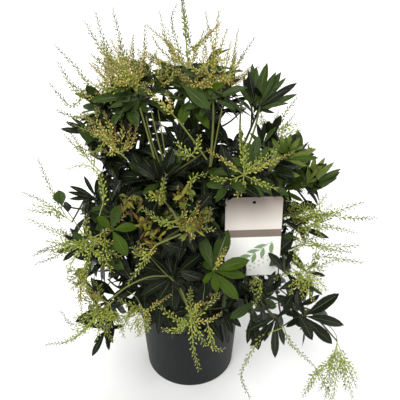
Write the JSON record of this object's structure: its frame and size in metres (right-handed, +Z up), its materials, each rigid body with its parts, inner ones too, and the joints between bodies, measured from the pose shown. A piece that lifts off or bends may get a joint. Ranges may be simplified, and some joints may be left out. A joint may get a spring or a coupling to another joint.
{
  "type": "potted pieris shrub",
  "caption": "Broad evergreen shrub with whorled glossy leaves and branching sprays of bud racemes, in a round plastic nursery pot with a blank plant label.",
  "frame": {"origin": "centre of the pot's flat underside", "axes": "+Z up along the pot's axis, -Y towards the front, where the label card faces, +X to the right as seen from the front"},
  "size_m": [0.623, 0.5947, 0.7989],
  "materials": {
    "pot_plastic": "charcoal grey moulded polypropylene with a faint sheen",
    "compost": "dark crumbled compost, matt",
    "label_card": "smooth satin plastic card, blank with a plain colour band",
    "bark": "grey-brown finely fissured bark",
    "foliage": "glossy dark green leaves with yellow-green buds"
  },
  "bodies": {
    "root": {"pot": "pot_plastic", "compost": "compost", "label": "label_card", "trunk": "bark", "limb_top": "bark", "limb_left_high": "bark", "limb_left": "bark", "limb_front": "bark", "limb_right": "bark", "limb_right_high": "bark", "limb_back_right": "bark", "limb_back_left": "bark", "bough_crown_right_out": "bark", "bough_back_left_high": "bark", "bough_middle_high": "bark", "bough_side_left_high": "bark", "bough_left_out": "bark", "bough_left_low": "bark", "bough_middle": "bark", "bough_front_low": "bark", "bough_front_low_right": "bark", "bough_right_low": "bark", "bough_right_out": "bark", "bough_back_right_high": "bark", "bough_back_right_low": "bark", "bough_back_left": "bark", "bough_back_left_low": "bark", "crown_right": "foliage", "crown_back": "foliage", "crown_left": "foliage", "shoulder_left": "foliage", "side_left_high": "foliage", "middle_high": "foliage", "middle": "foliage", "middle_left": "foliage", "front_left": "foliage", "left_out": "foliage", "left_low": "foliage", "left_low_back": "foliage", "inner_left": "foliage", "inner_top": "foliage", "front_rosette": "foliage", "front_bright": "foliage", "front_low": "foliage", "front_low_right": "foliage", "right_low": "foliage", "right_middle": "foliage", "right_side": "foliage", "right_out": "foliage", "right_high": "foliage", "right_star": "foliage", "crown_right_out": "foliage", "back_right_high": "foliage", "back_right": "foliage", "back_right_low": "foliage", "back": "foliage", "back_left_high": "foliage", "back_left": "foliage", "back_left_low": "foliage"}
  },
  "joints": []
}
